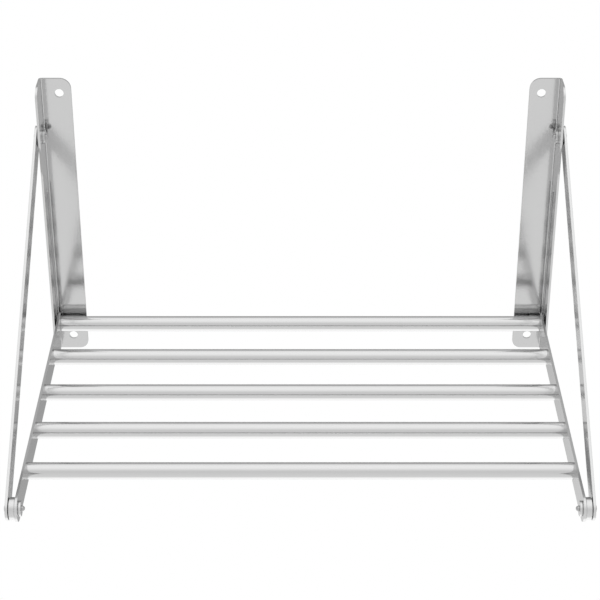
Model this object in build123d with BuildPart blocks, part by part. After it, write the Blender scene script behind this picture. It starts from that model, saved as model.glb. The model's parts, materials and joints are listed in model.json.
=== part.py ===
from build123d import *
import os
from math import atan2, cos, degrees, hypot, sin

# Wall-mounted folding towel rack: two angle brackets, a rack of round bars and two flat stays.
# The rear bar runs up and down in front of the bracket plates, with its guide pins in a slot in
# each flange. The arms turn on its ends, and each stay hangs from its bracket and turns on the
# front of an arm. In use the guide pins stand at the foot of the slots.
# Millimetres, X to the right, Y into the wall, Z up. The origin is midway between the two
# upper wall holes, on the wall plane. Outward means away from the middle plane X = 0.

# Overall layout
clear_width = 600.0
bar_pitch = 79.9
bars_carried_by_arms = 4
front_overhang = 69.5
rear_axis_above_bracket_foot = 43.5
upper_pivot_above_rear_axis = 257.0
arm_end_to_plate = 0.55

# Angle brackets, bent from sheet
bracket_height = 368.0
bracket_sheet = 2.5
bracket_plate_width = 37.4
bracket_flange_depth = 40.0
bracket_bend_inner = 1.0
plate_top_corner_radius = 13.0
plate_foot_corner_radius = 10.2
flange_corner_radius = 14.5
wall_hole_diameter = 10.5
wall_hole_from_end = 18.5
upper_wall_hole_from_inner_edge = 14.2
lower_wall_hole_from_inner_edge = 17.9
guide_slot_room_above = 2.5

# Arms and stays, flat bars with round ends
arm_thickness = 3.0
arm_height = 28.5
stay_thickness = 3.0
stay_width = 25.5
flat_bar_edge_radius = 0.4

# Round bars, drawn tube
bar_diameter = 19.0
bar_wall = 1.2

# Pivot pins, spacers and washers
pin_diameter = 6.4
pin_end_length = 3.6
pin_head_diameter = 13.0
pin_head_height = 2.3
front_spacer_length = 6.8
spacer_diameter = 24.5
spacer_edge = 0.6
washer_diameter = 17.0
washer_thickness = 3.0
washer_edge = 0.3

# Rear bar ends: bush, guide pin, stop plug and glide washer
bush_length_in_bar = 22.0
bush_spigot_diameter = 12.0
bush_spigot_proud = 0.3
bush_nose_length = 14.0
guide_pin_diameter = 6.4
guide_pin_edge = 0.5
guide_pin_collar_diameter = 10.0
guide_pin_collar_length = 4.0
stop_plug_length = 4.0
glide_washer_diameter = 14.0

# Bar end plugs and screws
plug_length = 14.0
screw_diameter = 5.0
screw_head_diameter = 9.6
screw_length = 13.0
screw_socket_across_flats = 3.0
screw_socket_depth = 1.5

# Clearances
arm_to_flange = 1.8
rear_bar_to_arm = 0.15
running_clearance = 0.08
face_clearance = 0.2
stay_to_spacer = 0.5
fit_clearance = 0.05
screw_clearance = 0.1
slot_clearance = 0.2

# Places across the width, measured outward from the middle plane
arm_inner = clear_width / 2
arm_outer = arm_inner + arm_thickness
flange_inner = arm_outer + arm_to_flange
flange_outer = flange_inner + bracket_sheet
stay_inner = arm_outer + front_spacer_length + stay_to_spacer
stay_outer = stay_inner + stay_thickness
upper_pin_end = stay_inner - face_clearance
upper_pin_tip = flange_inner - washer_thickness - pin_end_length
front_pin_tip = arm_inner - washer_thickness - pin_end_length
plate_inner_edge = flange_outer - bracket_plate_width
upper_wall_hole_x = plate_inner_edge + upper_wall_hole_from_inner_edge
lower_wall_hole_x = plate_inner_edge + lower_wall_hole_from_inner_edge

# Places along a guide pin, outward: its tip stands just inside the flange's outer face
bar_end = arm_inner - rear_bar_to_arm
bush_mouth = arm_outer + bush_spigot_proud
bush_shoulder = bush_mouth - bush_nose_length
guide_tip = flange_outer - face_clearance
collar_in = bush_shoulder - guide_pin_collar_length
stop_in = collar_in - stop_plug_length
glide_washer_length = flange_inner - face_clearance - bush_mouth

# Places in depth and height
bracket_foot_z = wall_hole_from_end - bracket_height
rear_axis_y = -bracket_sheet - arm_end_to_plate - arm_height / 2
rear_axis_z = bracket_foot_z + rear_axis_above_bracket_foot
upper_pivot_y = rear_axis_y
upper_pivot_z = rear_axis_z + upper_pivot_above_rear_axis
arm_reach = bars_carried_by_arms * bar_pitch + front_overhang
front_pivot_y = rear_axis_y - arm_reach
stay_run = upper_pivot_y - front_pivot_y
stay_reach = hypot(stay_run, upper_pivot_above_rear_axis)
stay_angle = degrees(atan2(upper_pivot_above_rear_axis, stay_run))
fold_rise = upper_pivot_above_rear_axis + arm_reach - stay_reach
guide_slot_run = fold_rise + guide_slot_room_above
lower_wall_hole_z = bracket_foot_z + wall_hole_from_end
carried_bar_ys = [rear_axis_y - bar_pitch * (i + 1) for i in range(bars_carried_by_arms)]

# Radii used by more than one piece
bar_bore_radius = bar_diameter / 2 - bar_wall
pin_radius = pin_diameter / 2
pin_hole_radius = pin_radius + running_clearance
guide_pin_radius = guide_pin_diameter / 2
guide_slot_radius = guide_pin_radius + slot_clearance
collar_bore_radius = guide_pin_collar_diameter / 2 + running_clearance
spigot_radius = bush_spigot_diameter / 2
screw_radius = screw_diameter / 2

SIDES = {"left": -1, "right": 1}


def across(side, distance):
    """Plane square to X at an outward distance, with local x along Y and local y along Z."""
    return Plane.YZ.offset(side * distance)


def outward(side, distance, y, z):
    """Plane at a point on a face square to X, facing outward."""
    return Plane(origin=(side * distance, y, z), z_dir=(side, 0, 0))


def turning_plane(side, y, z):
    """Plane through an axis along X, with local x outward and local y away from the axis."""
    return Plane(origin=(0, y, z), x_dir=(side, 0, 0), z_dir=(0, 0, 1))


def axis_along_x(y, z):
    """Turning axis along X."""
    return Axis((0, y, z), (1, 0, 0))


def dome_middle(start, radius, height):
    """Point halfway along a dome's arc, from its rim at start to its top on the axis."""
    sphere = (radius**2 + height**2) / (2 * abs(height))
    half_angle = atan2(radius, sphere - abs(height)) / 2
    sign = 1 if height > 0 else -1
    along = start + height - sign * sphere * (1 - cos(half_angle))
    return (along, sphere * sin(half_angle))


def make_bracket(side):
    """Angle bracket: a wall plate and a slotted flange at its outer edge, bent from one sheet."""
    with BuildPart() as bracket:
        with BuildSketch(Plane.XY.offset(bracket_foot_z)) as section:
            with BuildLine():
                Polyline(
                    (side * plate_inner_edge, 0),
                    (side * flange_outer, 0),
                    (side * flange_outer, -bracket_flange_depth),
                    (side * flange_inner, -bracket_flange_depth),
                    (side * flange_inner, -bracket_sheet),
                    (side * plate_inner_edge, -bracket_sheet),
                    close=True,
                )
            make_face()
            bend_outside = section.vertices().sort_by_distance((side * flange_outer, 0, 0))[0]
            fillet(bend_outside, bracket_bend_inner + bracket_sheet)
            bend_inside = section.vertices().sort_by_distance((side * flange_inner, -bracket_sheet, 0))[0]
            fillet(bend_inside, bracket_bend_inner)
        extrude(amount=bracket_height)
        for end, radius in ((0, plate_foot_corner_radius), (-1, plate_top_corner_radius)):
            plate_corners = bracket.edges().filter_by(Axis.Y).group_by(Axis.X)[0 if side > 0 else -1]
            fillet(plate_corners.sort_by(Axis.Z)[end], radius)
        flange_corners = bracket.edges().filter_by(Axis.X).group_by(Axis.Y)[0]
        fillet(flange_corners, flange_corner_radius)
        for x, z in ((upper_wall_hole_x, 0), (lower_wall_hole_x, lower_wall_hole_z)):
            with Locations(Plane(origin=(side * x, 0, z), z_dir=(0, 1, 0))):
                Hole(wall_hole_diameter / 2)
        with Locations(outward(side, flange_outer, upper_pivot_y, upper_pivot_z)):
            Hole(pin_hole_radius)
        with BuildSketch(across(side, flange_inner)):
            with Locations((rear_axis_y, rear_axis_z + guide_slot_run / 2)):
                SlotCenterToCenter(guide_slot_run, 2 * guide_slot_radius, rotation=90)
        extrude(amount=side * bracket_sheet, mode=Mode.SUBTRACT)
    return bracket


def make_tube(y, half_length):
    """Round bar: a drawn tube across the space between the arms."""
    with BuildPart() as tube:
        with BuildSketch(Plane.YZ.offset(-half_length)):
            with Locations((y, rear_axis_z)):
                Circle(bar_diameter / 2)
                Circle(bar_bore_radius, mode=Mode.SUBTRACT)
        extrude(amount=2 * half_length)
    return tube


def make_arm(side):
    """Arm: flat bar with the bush eye at the rear, the pin hole at the front and screw holes."""
    with BuildPart() as arm:
        with BuildSketch(across(side, arm_inner)):
            with Locations(((rear_axis_y + front_pivot_y) / 2, rear_axis_z)):
                SlotCenterToCenter(arm_reach, arm_height)
        extrude(amount=side * arm_thickness)
        fillet(arm.faces().filter_by(Axis.X).edges(), flat_bar_edge_radius)
        with Locations(outward(side, arm_outer, rear_axis_y, rear_axis_z)):
            Hole(spigot_radius + running_clearance)
        with Locations(outward(side, arm_outer, front_pivot_y, rear_axis_z)):
            Hole(pin_hole_radius)
        with Locations(*[outward(side, arm_outer, y, rear_axis_z) for y in carried_bar_ys]):
            CounterSinkHole(
                screw_radius + screw_clearance,
                screw_head_diameter / 2 + screw_clearance,
                counter_sink_angle=90,
            )
    return arm


def make_stay(side):
    """Stay: slanting flat bar with a pin hole at each end."""
    with BuildPart() as stay:
        with BuildSketch(across(side, stay_inner)):
            with Locations(((upper_pivot_y + front_pivot_y) / 2, (rear_axis_z + upper_pivot_z) / 2)):
                SlotCenterToCenter(stay_reach, stay_width, rotation=stay_angle)
        extrude(amount=side * stay_thickness)
        fillet(stay.faces().filter_by(Axis.X).edges(), flat_bar_edge_radius)
        front_eye = outward(side, stay_outer, front_pivot_y, rear_axis_z)
        upper_eye = outward(side, stay_outer, upper_pivot_y, upper_pivot_z)
        with Locations(front_eye, upper_eye):
            Hole(pin_hole_radius)
    return stay


def make_spacer(side, y, z, start, length):
    """Drum-shaped spacer on a pivot pin, with chamfered rims."""
    with BuildPart() as spacer:
        with BuildSketch(across(side, start)):
            with Locations((y, z)):
                Circle(spacer_diameter / 2)
                Circle(pin_hole_radius, mode=Mode.SUBTRACT)
        extrude(amount=side * length)
        chamfer(spacer.edges().filter_by(GeomType.CIRCLE).group_by(SortBy.RADIUS)[-1], spacer_edge)
    return spacer


def make_washer(side, y, z, seat):
    """Washer on the inner end of a pivot pin, seated on a face that looks inward."""
    with BuildPart() as washer:
        with BuildSketch(across(side, seat)):
            with Locations((y, z)):
                Circle(washer_diameter / 2)
                Circle(pin_hole_radius, mode=Mode.SUBTRACT)
        extrude(amount=-side * washer_thickness)
        chamfer(washer.edges().filter_by(GeomType.CIRCLE).group_by(SortBy.RADIUS)[-1], washer_edge)
    return washer


def make_pivot_pin(side, y, z, tip, shank_end, headed):
    """Pin with a round inner end, and a low domed head where it is headed."""
    with BuildPart() as pin:
        with BuildSketch(turning_plane(side, y, z)):
            with BuildLine():
                nose = (tip + pin_radius, pin_radius)
                ThreePointArc((tip, 0), dome_middle(nose[0], pin_radius, -pin_radius), nose)
                if headed:
                    rim = pin_head_diameter / 2
                    Polyline(nose, (shank_end, pin_radius), (shank_end, rim))
                    top = (shank_end + pin_head_height, 0)
                    ThreePointArc((shank_end, rim), dome_middle(shank_end, rim, pin_head_height), top)
                else:
                    top = (shank_end, 0)
                    Polyline(nose, (shank_end, pin_radius), top)
                Line(top, (tip, 0))
            make_face()
        revolve(axis=axis_along_x(y, z))
    return pin


def make_pivot_cap(side, y, z):
    """Domed cap whose short stem fills the upper eye of a stay."""
    rim = pin_head_diameter / 2
    with BuildPart() as cap:
        with BuildSketch(turning_plane(side, y, z)):
            with BuildLine():
                top = (stay_outer + pin_head_height, 0)
                Polyline(
                    (stay_inner, 0),
                    (stay_inner, pin_radius),
                    (stay_outer, pin_radius),
                    (stay_outer, rim),
                )
                ThreePointArc((stay_outer, rim), dome_middle(stay_outer, rim, pin_head_height), top)
                Line(top, (stay_inner, 0))
            make_face()
        revolve(axis=axis_along_x(y, z))
    return cap


def make_rear_bush(side):
    """Bush in an end of the rear bar: its spigot carries the arm, its bore holds the guide pin."""
    bush_inner_end = bar_end - bush_length_in_bar
    body_radius = bar_bore_radius - fit_clearance
    bore_radius = guide_pin_radius + fit_clearance
    with BuildPart() as bush:
        with BuildSketch(turning_plane(side, rear_axis_y, rear_axis_z)):
            with BuildLine():
                Polyline(
                    (bush_inner_end, collar_bore_radius),
                    (bush_inner_end, body_radius),
                    (bar_end, body_radius),
                    (bar_end, spigot_radius),
                    (bush_mouth, spigot_radius),
                    (bush_mouth, bore_radius),
                    (bush_shoulder, bore_radius),
                    (bush_shoulder, collar_bore_radius),
                    close=True,
                )
            make_face()
        revolve(axis=axis_along_x(rear_axis_y, rear_axis_z))
    return bush


def make_guide_pin(side):
    """Guide pin: a collar seated in the bush, and a shank that runs in the flange's slot."""
    collar_radius = guide_pin_collar_diameter / 2
    with BuildPart() as pin:
        with BuildSketch(turning_plane(side, rear_axis_y, rear_axis_z)):
            with BuildLine():
                Polyline(
                    (collar_in, 0),
                    (collar_in, collar_radius),
                    (bush_shoulder, collar_radius),
                    (bush_shoulder, guide_pin_radius),
                    (guide_tip - guide_pin_edge, guide_pin_radius),
                    (guide_tip, guide_pin_radius - guide_pin_edge),
                    (guide_tip, 0),
                    close=True,
                )
            make_face()
        revolve(axis=axis_along_x(rear_axis_y, rear_axis_z))
    return pin


def make_stop_plug(side):
    """Plug pressed into the bush behind the guide pin's collar."""
    with BuildPart() as plug:
        with BuildSketch(across(side, stop_in)):
            with Locations((rear_axis_y, rear_axis_z)):
                Circle(collar_bore_radius - fit_clearance)
        extrude(amount=side * stop_plug_length)
    return plug


def make_glide_washer(side):
    """Flat ring on the guide pin that keeps the arm and the bush off the flange."""
    with BuildPart() as washer:
        with BuildSketch(across(side, bush_mouth)):
            with Locations((rear_axis_y, rear_axis_z)):
                Circle(glide_washer_diameter / 2)
                Circle(guide_pin_radius + running_clearance, mode=Mode.SUBTRACT)
        extrude(amount=side * glide_washer_length)
    return washer


def make_bar_plugs():
    """Threaded plugs in the ends of the carried bars."""
    with BuildPart() as plugs:
        for side in SIDES.values():
            with BuildSketch(across(side, arm_inner)):
                with Locations(*[(y, rear_axis_z) for y in carried_bar_ys]):
                    Circle(bar_bore_radius - fit_clearance)
                    Circle(screw_radius + fit_clearance, mode=Mode.SUBTRACT)
            extrude(amount=-side * plug_length)
    return plugs


def make_bar_screws():
    """Countersunk screws, flush in the arms, that hold the carried bars."""
    head_radius = screw_head_diameter / 2
    head_face = arm_outer - fit_clearance
    neck = head_face - (head_radius - screw_radius)
    socket_radius = screw_socket_across_flats / 2
    with BuildPart() as screws:
        for side in SIDES.values():
            for y in carried_bar_ys:
                with BuildSketch(turning_plane(side, y, rear_axis_z)):
                    with BuildLine():
                        Polyline(
                            (head_face, 0),
                            (head_face, head_radius),
                            (neck, screw_radius),
                            (head_face - screw_length, screw_radius),
                            (head_face - screw_length, 0),
                            close=True,
                        )
                    make_face()
                revolve(axis=axis_along_x(y, rear_axis_z))
            with BuildSketch(across(side, head_face)):
                with Locations(*[(y, rear_axis_z) for y in carried_bar_ys]):
                    RegularPolygon(socket_radius, 6, major_radius=False)
            extrude(amount=-side * screw_socket_depth, mode=Mode.SUBTRACT)
    return screws


def keep(piece, label):
    """Names a finished piece and writes it out."""
    piece.part.label = label
    export_step(piece.part, f"parts/{label}.step")


os.makedirs("parts", exist_ok=True)

# Round bars, with the plugs and screws that hold them
keep(make_tube(rear_axis_y, bar_end), "rear_bar")
for number, bar_y in enumerate(carried_bar_ys, start=2):
    keep(make_tube(bar_y, arm_inner), f"bar_{number}")
keep(make_bar_plugs(), "bar_end_plugs")
keep(make_bar_screws(), "bar_screws")

# Pieces that come on each side
for name, side in SIDES.items():
    keep(make_bracket(side), f"bracket_{name}")
    keep(make_arm(side), f"arm_{name}")
    keep(make_stay(side), f"stay_{name}")

    keep(make_rear_bush(side), f"rear_bush_{name}")
    keep(make_guide_pin(side), f"guide_pin_{name}")
    keep(make_stop_plug(side), f"stop_plug_{name}")
    keep(make_glide_washer(side), f"glide_washer_{name}")

    front = (side, front_pivot_y, rear_axis_z)
    keep(make_pivot_pin(*front, front_pin_tip, stay_outer + face_clearance, headed=True), f"front_pin_{name}")
    keep(make_spacer(*front, arm_outer, front_spacer_length), f"front_spacer_{name}")
    keep(make_washer(*front, arm_inner), f"front_washer_{name}")

    upper = (side, upper_pivot_y, upper_pivot_z)
    keep(make_pivot_pin(*upper, upper_pin_tip, upper_pin_end, headed=False), f"upper_pin_{name}")
    keep(make_spacer(*upper, flange_outer, upper_pin_end - flange_outer), f"upper_spacer_{name}")
    keep(make_washer(*upper, flange_inner), f"upper_washer_{name}")
    keep(make_pivot_cap(*upper), f"upper_cap_{name}")

print(f"stay angle {stay_angle:.4f} degrees, rise of the rear bar when folded {fold_rise:.4f} mm")
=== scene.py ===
import json
from math import atan2, radians

import bpy
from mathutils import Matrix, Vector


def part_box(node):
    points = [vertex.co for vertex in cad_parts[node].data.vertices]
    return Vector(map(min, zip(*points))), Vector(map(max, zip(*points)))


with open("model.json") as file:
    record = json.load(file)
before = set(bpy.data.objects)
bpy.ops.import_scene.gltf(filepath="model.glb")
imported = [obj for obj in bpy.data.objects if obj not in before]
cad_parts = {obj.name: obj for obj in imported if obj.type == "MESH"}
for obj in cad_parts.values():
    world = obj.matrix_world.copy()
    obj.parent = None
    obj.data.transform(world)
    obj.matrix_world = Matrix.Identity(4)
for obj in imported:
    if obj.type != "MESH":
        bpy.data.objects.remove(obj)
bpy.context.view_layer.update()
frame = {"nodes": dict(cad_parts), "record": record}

MM = 0.001
WHITE = "#FFFFFF"

# Camera, fitted to the rack's bars, arms and brackets: metres, degrees, and a lens for 36 mm film
CAMERA_PLACE = (-0.0004, -1.940, 0.82235)
CAMERA_LOOKS_DOWN = 29.642
LENS_MM = 106.5

# Steel colours: the bright face, and the faintly duller patches on it
POLISHED = ("#CBCBCB", "#C9C9C9")
TURNED = ("#CCCCCC", "#C8C8C8")
# Pins: the same steel painted darker, painted shade for the dim pivots they sit in
PIN_PAINTED_SHADE = ("#ACACAC", "#A6A6A6")
# Steel brightens at a glancing angle, by this share of what a plain mirror does
STEEL_EDGE = "#E8E8E8"

# Polishing lines in the steel: how finely the noise is broken up, how far they spread the gloss to
# either side of its mean, and how much they stand proud
LINE_DETAIL = 3.0
LINE_CRISPNESS = 0.6
GLOSS_SPREAD = 0.2
LINE_RELIEF = 0.05
LINE_HEIGHT_MM = 0.02
# The duller patches, about three fingers across
PATCH_MM = 45
PATCH_DETAIL = 2.0

# Black acetal, with the grain of a spark-eroded mould
ACETAL_COLOUR = "#232324"
ACETAL_ROUGHNESS = 0.45
ACETAL_IOR = 1.48
MOULD_GRAIN_MM = 0.5
MOULD_GRAIN_DETAIL = 2.0
MOULD_GRAIN_RELIEF = 0.2
MOULD_GRAIN_HEIGHT_MM = 0.03

# Room light by height, from straight down (0) through level (0.5) to straight up (1): a white floor,
# plain walls and a soft lit ceiling
ROOM_LIGHT = (
    (0.0, 1.6), (0.03, 1.52), (0.06, 1.2), (0.14, 1.03), (0.25, 1.02), (0.5, 0.97),
    (0.7, 0.92), (0.8, 0.99), (0.885, 1.14), (0.95, 1.29), (1.0, 1.37),
)
BRIGHTEST = max(light for height, light in ROOM_LIGHT)

# Parts of the room, each fading in from its first figure to its second along one axis of a direction
# of length 1: X to the right, Y away from the camera, Z up
ROOM_PARTS = {
    "floor_below": ("Z", -0.55, -0.80),
    "floor_behind": ("Y", -0.25, 0.05),
    "far_side": ("Y", 0.62, 0.84),
    "above_eye_level": ("Z", 0.0, 0.2),
}
# Below eye level the far side is dim only right of an edge, where X plus a share of Y passes these
DIM_EDGE = (0.136, 0.172)
DIM_EDGE_LEAN = 0.35
# Above eye level the whole far side is dim, by this share of the full dimming
DIM_ABOVE_EYE_LEVEL = 0.70
# Light that the full dimming leaves, as a share of what the height gives
DIMMEST = 0.50

# Floor, well below the folded rack, in metres
FLOOR_LEVEL = -0.95
FLOOR_SIZE = 12.0
FLOOR_COLOUR = "#F4F4F4"


def linear(hex_colour, alpha=1.0):
    """Turns an sRGB hex colour such as #CACACA into linear red, green, blue and alpha."""
    channels = [int(hex_colour[i:i + 2], 16) / 255 for i in (1, 3, 5)]
    return (*[c / 12.92 if c <= 0.04045 else ((c + 0.055) / 1.055) ** 2.4 for c in channels], alpha)


def add_node(tree, kind, values=None, links=None, **settings):
    """Adds a node, sets its own settings and its sockets' values, and links other sockets to it."""
    node = tree.nodes.new(kind)
    for name, value in settings.items():
        setattr(node, name, value)
    for socket, value in (values or {}).items():
        node.inputs[socket].default_value = value
    for socket, source in (links or {}).items():
        tree.links.new(source, node.inputs[socket])
    return node


def new_tree(name):
    """Starts an empty material and returns it with its node tree."""
    material = bpy.data.materials.new(name)
    material.use_nodes = True
    material.node_tree.nodes.clear()
    return material, material.node_tree


def polished_steel(name, colours, along, line_mm, streak_mm, roughness, turn=0.0):
    """Polished stainless steel: a metal whose polishing lines run along one axis.

    The lines are noise squeezed to line_mm across and drawn out to streak_mm along. They make the
    gloss uneven and stand a little proud, so reflections blur across them. Real lines are about a
    tenth as wide: these are drawn as coarse as they need to be to show at all.
    """
    bright, dull = colours
    material, tree = new_tree(name)
    place = add_node(tree, "ShaderNodeTexCoord")
    stretch = [1 / (line_mm * MM)] * 3
    stretch["XYZ".index(along)] = 1 / (streak_mm * MM)
    turned = add_node(
        tree, "ShaderNodeMapping", {"Rotation": (turn, 0, 0)}, {"Vector": place.outputs["Object"]},
    )
    drawn_out = add_node(
        tree, "ShaderNodeMapping", {"Scale": stretch}, {"Vector": turned.outputs["Vector"]},
    )
    lines = add_node(
        tree, "ShaderNodeTexNoise",
        {"Scale": 1.0, "Detail": LINE_DETAIL, "Roughness": LINE_CRISPNESS},
        {"Vector": drawn_out.outputs["Vector"]},
    )
    patches = add_node(
        tree, "ShaderNodeTexNoise", {"Scale": 1 / (PATCH_MM * MM), "Detail": PATCH_DETAIL},
        {"Vector": place.outputs["Object"]},
    )
    gloss = add_node(
        tree, "ShaderNodeMapRange",
        {"To Min": roughness * (1 - GLOSS_SPREAD), "To Max": roughness * (1 + GLOSS_SPREAD)},
        {"Value": lines.outputs["Fac"]},
    )
    tint = add_node(
        tree, "ShaderNodeMix", {"A": linear(bright), "B": linear(dull)},
        {"Factor": patches.outputs["Fac"]}, data_type="RGBA",
    )
    relief = add_node(
        tree, "ShaderNodeBump", {"Strength": LINE_RELIEF, "Distance": LINE_HEIGHT_MM * MM},
        {"Height": lines.outputs["Fac"]},
    )
    shader = add_node(
        tree, "ShaderNodeBsdfPrincipled", {"Metallic": 1.0, "Specular Tint": linear(STEEL_EDGE)},
        {
            "Base Color": tint.outputs["Result"],
            "Roughness": gloss.outputs["Result"],
            "Normal": relief.outputs["Normal"],
        },
    )
    add_node(tree, "ShaderNodeOutputMaterial", links={"Surface": shader.outputs["BSDF"]})
    return material


def moulded_acetal():
    """Moulded black acetal: a waxy plastic whose fine mould grain leaves only a dull sheen."""
    material, tree = new_tree("moulded_black_acetal")
    place = add_node(tree, "ShaderNodeTexCoord")
    grain = add_node(
        tree, "ShaderNodeTexNoise",
        {"Scale": 1 / (MOULD_GRAIN_MM * MM), "Detail": MOULD_GRAIN_DETAIL},
        {"Vector": place.outputs["Object"]},
    )
    relief = add_node(
        tree, "ShaderNodeBump",
        {"Strength": MOULD_GRAIN_RELIEF, "Distance": MOULD_GRAIN_HEIGHT_MM * MM},
        {"Height": grain.outputs["Fac"]},
    )
    shader = add_node(
        tree, "ShaderNodeBsdfPrincipled",
        {"Base Color": linear(ACETAL_COLOUR), "Roughness": ACETAL_ROUGHNESS, "IOR": ACETAL_IOR},
        {"Normal": relief.outputs["Normal"]},
    )
    add_node(tree, "ShaderNodeOutputMaterial", links={"Surface": shader.outputs["BSDF"]})
    return material


def stay_tilt():
    """Angle of the stays above the level arms, from the two pivots that each hangs between."""
    upper_low, upper_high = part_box("upper_cap_left")
    front_low, front_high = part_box("front_spacer_left")
    rise = (upper_low.z + upper_high.z - front_low.z - front_high.z) / 2
    run = (upper_low.y + upper_high.y - front_low.y - front_high.y) / 2
    return atan2(rise, run)


# Sheet polished up and down before it was bent: the plates mirror the bars, a little blurred
sheet_steel = polished_steel(
    "polished_stainless_sheet", POLISHED, along="Z", line_mm=1.2, streak_mm=60, roughness=0.13,
)
# Drawn tube polished along its length: straight bands of light from end to end of each bar
tube_steel = polished_steel(
    "polished_stainless_tube", POLISHED, along="X", line_mm=1.0, streak_mm=80, roughness=0.13,
)
# Flat bar polished lengthways: soft reflections of the bars along the inner faces of arms and stays
arm_steel = polished_steel(
    "polished_stainless_arm_bar", POLISHED, along="Y", line_mm=1.2, streak_mm=60, roughness=0.14,
)
stay_steel = polished_steel(
    "polished_stainless_stay_bar", POLISHED, along="Y", line_mm=1.2, streak_mm=60, roughness=0.14,
    turn=-stay_tilt(),
)
# Spacers, washers, caps, plugs and screws, turned bright: an even gloss with no direction to it
turned_steel = polished_steel(
    "bright_turned_steel", TURNED, along="X", line_mm=0.6, streak_mm=0.6, roughness=0.14,
)
# Pins: steel painted darker than what is round them, painted shade for the dim pivots they sit in, and
# a little less glossy
pin_steel = polished_steel(
    "hardened_pin_steel", PIN_PAINTED_SHADE, along="X", line_mm=0.6, streak_mm=0.6, roughness=0.18,
)
# Bushes and glide washers, moulded: a thin dull black line between each arm and its flange
acetal = moulded_acetal()

FINISH_BY_SLOT = {
    "bracket_steel": sheet_steel,
    "tube_steel": tube_steel,
    "hardware_steel": turned_steel,
    "bush_acetal": acetal,
}

slots = {entry["node"]: entry["material_slot"] for entry in frame["record"]["subparts"]}
for node_name, node_object in frame["nodes"].items():
    if node_name.startswith("arm_"):
        finish = arm_steel
    elif node_name.startswith("stay_"):
        finish = stay_steel
    # Pins get the darker steel, painted shade for their pivots
    elif "_pin_" in node_name:
        finish = pin_steel
    else:
        finish = FINISH_BY_SLOT[slots[node_name]]
    for material_slot in node_object.material_slots:
        material_slot.material = finish


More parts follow.
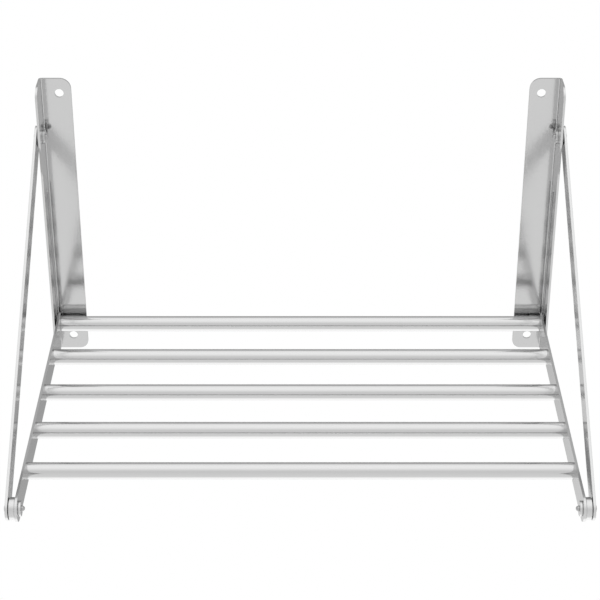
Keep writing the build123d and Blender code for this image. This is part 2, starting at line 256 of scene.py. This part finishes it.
def studio_world():
    """White room with a soft bright ceiling and a dimmer far side, plain white to the camera.

    A direction's height sets its light. Under and behind the rack the floor is at its brightest,
    which is what the undersides of the bars see, and the far side is dimmed.
    """
    world = bpy.data.worlds.new("white_studio")
    bpy.context.scene.world = world
    world.use_nodes = True
    tree = world.node_tree
    tree.nodes.clear()
    direction = add_node(tree, "ShaderNodeTexCoord")
    axes = add_node(tree, "ShaderNodeSeparateXYZ", links={"Vector": direction.outputs["Generated"]})
    share = {}
    for part, (axis, start, full) in ROOM_PARTS.items():
        share[part] = add_node(
            tree, "ShaderNodeMapRange", {"From Min": start, "From Max": full},
            {"Value": axes.outputs[axis]}, interpolation_type="SMOOTHSTEP",
        ).outputs["Result"]

    height = add_node(
        tree, "ShaderNodeMapRange", {"From Min": -1.0, "From Max": 1.0}, {"Value": axes.outputs["Z"]},
    )
    ramp = add_node(tree, "ShaderNodeValToRGB", links={"Fac": height.outputs["Result"]})
    stops = ramp.color_ramp.elements
    # New stops start between the two that a ramp begins with, so that all stay in order
    while len(stops) < len(ROOM_LIGHT):
        stops.new(0.5)
    for stop, (position, light) in zip(stops, ROOM_LIGHT):
        stop.position = position
        stop.color = (light / BRIGHTEST,) * 3 + (1.0,)

    under = add_node(
        tree, "ShaderNodeMath", links={0: share["floor_below"], 1: share["floor_behind"]},
        operation="MULTIPLY",
    )
    light = add_node(
        tree, "ShaderNodeMix", {"B": linear(WHITE)},
        {"Factor": under.outputs["Value"], "A": ramp.outputs["Color"]}, data_type="RGBA",
    )

    leaning = add_node(
        tree, "ShaderNodeMath", {1: DIM_EDGE_LEAN}, {0: axes.outputs["Y"], 2: axes.outputs["X"]},
        operation="MULTIPLY_ADD",
    )
    right_of_edge = add_node(
        tree, "ShaderNodeMapRange", {"From Min": DIM_EDGE[0], "From Max": DIM_EDGE[1]},
        {"Value": leaning.outputs["Value"]}, interpolation_type="SMOOTHSTEP",
    )
    dim_part = add_node(
        tree, "ShaderNodeMix", {"B": DIM_ABOVE_EYE_LEVEL},
        {"Factor": share["above_eye_level"], "A": right_of_edge.outputs["Result"]}, data_type="FLOAT",
    )
    shade = add_node(
        tree, "ShaderNodeMath", links={0: share["far_side"], 1: dim_part.outputs["Result"]},
        operation="MULTIPLY",
    )
    strength = add_node(
        tree, "ShaderNodeMapRange", {"To Min": BRIGHTEST, "To Max": BRIGHTEST * DIMMEST},
        {"Value": shade.outputs["Value"]},
    )
    room = add_node(
        tree, "ShaderNodeBackground",
        links={"Color": light.outputs["Result"], "Strength": strength.outputs["Result"]},
    )
    backdrop = add_node(tree, "ShaderNodeBackground", {"Color": linear(WHITE), "Strength": 1.0})
    ray = add_node(tree, "ShaderNodeLightPath")
    mixed = add_node(
        tree, "ShaderNodeMixShader",
        links={
            0: ray.outputs["Is Camera Ray"],
            1: room.outputs["Background"],
            2: backdrop.outputs["Background"],
        },
    )
    add_node(tree, "ShaderNodeOutputWorld", links={"Surface": mixed.outputs["Shader"]})


def pale_floor():
    """Flat white floor: matt to the light, white to the camera, open to the room's reflections."""
    half = FLOOR_SIZE / 2
    sides = ((-half, -half), (half, -half), (half, half), (-half, half))
    corners = [(x, y, FLOOR_LEVEL) for x, y in sides]
    mesh = bpy.data.meshes.new("studio_floor")
    mesh.from_pydata(corners, [], [(0, 1, 2, 3)])
    floor = bpy.data.objects.new("studio_floor", mesh)
    bpy.context.scene.collection.objects.link(floor)
    material, tree = new_tree("matt_white_floor")
    ray = add_node(tree, "ShaderNodeLightPath")
    matt = add_node(tree, "ShaderNodeBsdfDiffuse", {"Color": linear(FLOOR_COLOUR)})
    white = add_node(tree, "ShaderNodeEmission", {"Color": linear(WHITE), "Strength": 1.0})
    clear = add_node(tree, "ShaderNodeBsdfTransparent")
    seen = add_node(
        tree, "ShaderNodeMixShader",
        links={0: ray.outputs["Is Camera Ray"], 1: matt.outputs["BSDF"], 2: white.outputs["Emission"]},
    )
    mirrored = add_node(
        tree, "ShaderNodeMixShader",
        links={0: ray.outputs["Is Glossy Ray"], 1: seen.outputs["Shader"], 2: clear.outputs["BSDF"]},
    )
    add_node(tree, "ShaderNodeOutputMaterial", links={"Surface": mirrored.outputs["Shader"]})
    mesh.materials.append(material)


def photo_camera():
    """Camera at the photograph's viewing angle."""
    camera = bpy.data.cameras.new("camera")
    camera.lens = LENS_MM
    placed = bpy.data.objects.new("camera", camera)
    placed.location = CAMERA_PLACE
    placed.rotation_euler = (radians(90 - CAMERA_LOOKS_DOWN), 0, 0)
    bpy.context.scene.collection.objects.link(placed)
    bpy.context.scene.camera = placed


studio_world()
pale_floor()
photo_camera()
bpy.context.scene.view_settings.view_transform = "Standard"
